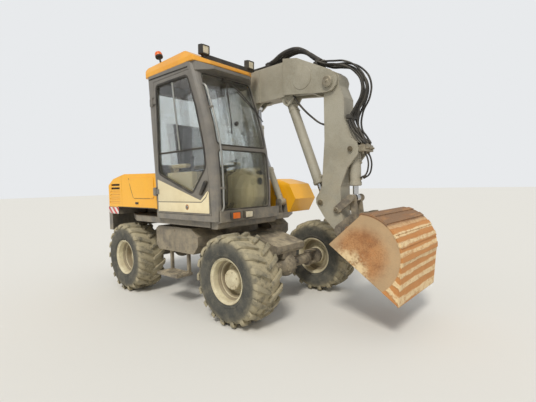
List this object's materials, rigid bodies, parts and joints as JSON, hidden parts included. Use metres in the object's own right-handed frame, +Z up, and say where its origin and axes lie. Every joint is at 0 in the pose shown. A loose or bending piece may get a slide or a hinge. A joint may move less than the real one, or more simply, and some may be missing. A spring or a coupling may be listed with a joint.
{
  "type": "wheeled excavator",
  "caption": "Compact wheeled excavator with a two-piece boom, arm, bucket on a coupler, an offset cab and large lugged tyres, all with working joints.",
  "frame": {"origin": "on the ground under the centre of the outer box", "axes": "+X forwards along the machine, +Y to its left, +Z up"},
  "size_m": [5.06, 2.26, 3.5444],
  "materials": {
    "chassis_grey": "dusty grey-brown paint",
    "iron": "cast iron under dust",
    "tyre": "black rubber, dusty",
    "rim": "cream paint, dirty",
    "grey": "warm grey paint, satin",
    "yellow": "yellow paint, semi-gloss",
    "roof": "orange-yellow paint, semi-gloss",
    "boom": "warm grey paint, dusty",
    "glass": "clear, slightly tinted",
    "seat": "dark woven seat cloth",
    "black_plastic": "matte black",
    "console": "beige moulded plastic",
    "rod": "ground and plated rod",
    "amber": "amber lens",
    "engine": "painted iron",
    "rust": "worn steel, rusted, with dried soil"
  },
  "bodies": {
    "chassis": {"chassis": "chassis_grey", "front_axle": "iron", "rear_axle": "iron"},
    "upper": {"platform": "grey", "counterweight": "grey", "engine": "engine", "side_cover": "yellow", "cab_shell": "grey", "cab_roof": "roof", "cab_glass": "glass", "seat": "seat", "seat_base": "black_plastic", "consoles": "console", "steering_column": "black_plastic", "work_lamps": "black_plastic", "beacon": "amber"},
    "hood": {"hood": "yellow"},
    "door": {"door": "grey", "door_glass": "glass"},
    "knuckle_left": {"knuckle_left": "iron"},
    "knuckle_right": {"knuckle_right": "iron"},
    "tie_rod": {"tie_rod": "iron"},
    "wheel_front_left": {"tyre_front_left": "tyre", "wheel_front_left": "rim"},
    "wheel_front_right": {"tyre_front_right": "tyre", "wheel_front_right": "rim"},
    "wheel_rear_left": {"tyre_rear_left": "tyre", "wheel_rear_left": "rim"},
    "wheel_rear_right": {"tyre_rear_right": "tyre", "wheel_rear_right": "rim"},
    "lift_boom": {"lift_boom": "boom"},
    "lift_barrels": {"lift_barrels": "boom"},
    "lift_rods": {"lift_rods": "rod"},
    "jib": {"jib": "boom"},
    "jib_barrel": {"jib_barrel": "boom"},
    "jib_rod": {"jib_rod": "rod"},
    "arm": {"arm": "boom"},
    "arm_barrel": {"arm_barrel": "boom"},
    "arm_rod": {"arm_rod": "rod"},
    "bucket_barrel": {"bucket_barrel": "boom"},
    "bucket_rod": {"bucket_rod": "rod"},
    "rocker": {"rocker": "boom"},
    "link": {"link": "boom"},
    "bucket": {"coupler": "rust", "bucket": "rust"}
  },
  "joints": [
    {"name": "slew", "type": "hinge", "parent": "chassis", "child": "upper", "pos_m": [-0.43, 0, 1.11], "axis": [0, 0, 1], "continuous": true},
    {"name": "steer_left", "type": "hinge", "parent": "chassis", "child": "knuckle_left", "pos_m": [0.77, 0.545, 0.54], "axis": [0, 0, 1], "range_deg": [-30, 30]},
    {"name": "steer_right", "type": "hinge", "parent": "chassis", "child": "knuckle_right", "pos_m": [0.77, -0.545, 0.54], "axis": [0, 0, 1], "range_deg": [-30.5, 30.5]},
    {"name": "tie_rod_slide", "type": "slide", "parent": "chassis", "child": "tie_rod", "axis": [0, 1, 0], "range_m": [-0.08, 0.08]},
    {"name": "spin_front_left", "type": "hinge", "parent": "knuckle_left", "child": "wheel_front_left", "pos_m": [0.77, 0.9015, 0.54], "axis": [0, 1, 0], "continuous": true},
    {"name": "spin_front_right", "type": "hinge", "parent": "knuckle_right", "child": "wheel_front_right", "pos_m": [0.77, -0.9015, 0.54], "axis": [0, 1, 0], "continuous": true},
    {"name": "spin_rear_left", "type": "hinge", "parent": "chassis", "child": "wheel_rear_left", "pos_m": [-1.63, 0.9015, 0.54], "axis": [0, 1, 0], "continuous": true},
    {"name": "spin_rear_right", "type": "hinge", "parent": "chassis", "child": "wheel_rear_right", "pos_m": [-1.63, -0.9015, 0.54], "axis": [0, 1, 0], "continuous": true},
    {"name": "door_hinge", "type": "hinge", "parent": "upper", "child": "door", "pos_m": [-0.645, -1.101, 1.585], "axis": [0, 0, -1], "range_deg": [0, 135]},
    {"name": "hood_hinge", "type": "hinge", "parent": "upper", "child": "hood", "pos_m": [-0.762, 0, 1.855], "axis": [0, 1, 0], "range_deg": [0, 55]},
    {"name": "lift", "type": "hinge", "parent": "upper", "child": "lift_boom", "pos_m": [-0.03, 0.25, 1.5], "axis": [0, -1, 0], "range_deg": [-32, 8]},
    {"name": "lift_cylinder", "type": "hinge", "parent": "upper", "child": "lift_barrels", "pos_m": [0.37, 0.25, 1.38], "axis": [0, -1, 0], "range_deg": [-25.58, 6.62]},
    {"name": "lift_stroke", "type": "slide", "parent": "lift_barrels", "child": "lift_rods", "axis": [-0.3812, 0, 0.9245], "range_m": [-0.205, 0.0543]},
    {"name": "jib_lift", "type": "hinge", "parent": "lift_boom", "child": "jib", "pos_m": [-0.33, 0.25, 3.05], "axis": [0, -1, 0], "range_deg": [-8, 75]},
    {"name": "jib_cylinder", "type": "hinge", "parent": "lift_boom", "child": "jib_barrel", "pos_m": [0.19, 0.25, 1.64], "axis": [0, -1, 0], "range_deg": [-0.63, 3.4]},
    {"name": "jib_stroke", "type": "slide", "parent": "jib_barrel", "child": "jib_rod", "axis": [-0.0504, 0, 0.9987], "range_m": [-0.0697, 0.6198]},
    {"name": "arm_tuck", "type": "hinge", "parent": "jib", "child": "arm", "pos_m": [1.45, 0.25, 2.92], "axis": [0, 1, 0], "range_deg": [-80, 5]},
    {"name": "arm_cylinder", "type": "hinge", "parent": "jib", "child": "arm_barrel", "pos_m": [0.75, 0.25, 2.8], "axis": [0, 1, 0], "range_deg": [-61.29, 4.11]},
    {"name": "arm_stroke", "type": "slide", "parent": "arm_barrel", "child": "arm_rod", "axis": [0.3599, 0, -0.933], "range_m": [-0.0471, 0.6935]},
    {"name": "bucket_curl", "type": "hinge", "parent": "arm", "child": "bucket", "pos_m": [1.57, 0.25, 1.05], "axis": [0, 1, 0], "range_deg": [-25, 60]},
    {"name": "rocker_hinge", "type": "hinge", "parent": "arm", "child": "rocker", "pos_m": [1.538, 0.25, 1.312], "axis": [0, 1, 0], "range_deg": [-25.2, 60.07]},
    {"name": "link_hinge", "type": "hinge", "parent": "rocker", "child": "link", "pos_m": [1.73, 0.25, 1.457], "axis": [0, 1, 0], "range_deg": [-60.67, 25.45]},
    {"name": "bucket_cylinder", "type": "hinge", "parent": "arm", "child": "bucket_barrel", "pos_m": [1.73, 0.25, 2.06], "axis": [0, 1, 0], "range_deg": [-5.87, 2.62]},
    {"name": "bucket_stroke", "type": "slide", "parent": "bucket_barrel", "child": "bucket_rod", "axis": [0, 0, -1], "range_m": [-0.1005, 0.2356]}
  ],
  "couplings": [
    {"joint": "steer_right", "follows": "steer_left", "ratio": 1},
    {"joint": "tie_rod_slide", "follows": "steer_left", "m_per_rad": -0.15},
    {"joint": "lift_cylinder", "follows": "lift", "ratio": 0.7901},
    {"joint": "lift_stroke", "follows": "lift", "m_per_rad": 0.3599},
    {"joint": "jib_cylinder", "follows": "jib_lift", "ratio": 0.0413},
    {"joint": "jib_stroke", "follows": "jib_lift", "m_per_rad": 0.4704},
    {"joint": "arm_cylinder", "follows": "arm_tuck", "ratio": 0.7624},
    {"joint": "arm_stroke", "follows": "arm_tuck", "m_per_rad": -0.4938},
    {"joint": "rocker_hinge", "follows": "bucket_curl", "ratio": 0.9961},
    {"joint": "link_hinge", "follows": "bucket_curl", "ratio": -1.0061},
    {"joint": "bucket_cylinder", "follows": "bucket_curl", "ratio": -0.0928},
    {"joint": "bucket_stroke", "follows": "bucket_curl", "m_per_rad": 0.2212}
  ]
}
